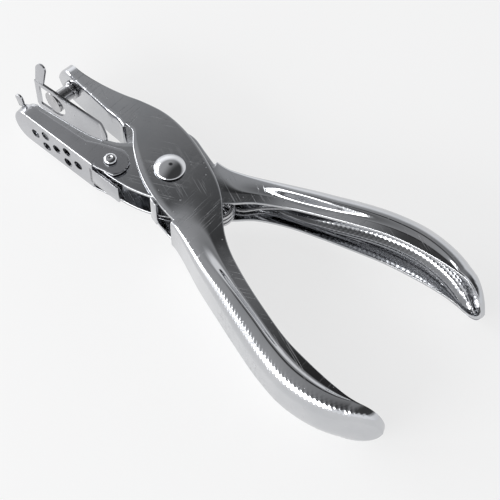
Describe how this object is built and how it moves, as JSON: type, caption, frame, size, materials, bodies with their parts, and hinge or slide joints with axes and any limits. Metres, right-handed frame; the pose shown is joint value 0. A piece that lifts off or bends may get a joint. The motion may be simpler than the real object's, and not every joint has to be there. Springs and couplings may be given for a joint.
{
  "type": "hole punch",
  "caption": "Plier-style hand punch: crossed sheet steel arms, round punch over a die with a stripper, swinging chip tray and a coil spring that opens it.",
  "frame": {"origin": "on the pivot axis, where the main rivet's flat far head rests on the table", "axes": "+Z along the pivot axis, away from the table; +X along the die face, from the jaws to the handles; +Y from the lower jaw to the upper jaw"},
  "size_m": [0.1271, 0.0561, 0.0178],
  "materials": {
    "arm_chrome": "bright chrome plate with fine handling scratches and a dimpled grip",
    "rivet_chrome": "bright plated rivet head",
    "tool_steel": "turned and ground",
    "spring_steel": "drawn wire, lightly plated",
    "thin_sheet": "plated thin sheet, slightly satin"
  },
  "bodies": {
    "die_arm": {"lower_arm": "arm_chrome", "pivot_rivet": "rivet_chrome", "pivot_spacer": "tool_steel", "torsion_spring": "spring_steel", "stripper": "thin_sheet", "tray_rivet_near": "rivet_chrome", "tray_rivet_far": "rivet_chrome"},
    "punch_arm": {"upper_arm": "arm_chrome", "punch_pin": "tool_steel"},
    "tray": {"chip_tray": "thin_sheet"}
  },
  "joints": [
    {"name": "squeeze", "type": "hinge", "parent": "die_arm", "child": "punch_arm", "pos_m": [0, 0, 0.0073], "axis": [0, 0, 1], "range_deg": [0, 8.2], "stiffness_Nm_per_rad": 0.6, "springref_deg": -20.05, "deforming": ["torsion_spring"]},
    {"name": "tray_swing", "type": "hinge", "parent": "die_arm", "child": "tray", "pos_m": [-0.0134, -0.0063, 0.0073], "axis": [0, 0, 1], "range_deg": [0, 75]}
  ]
}
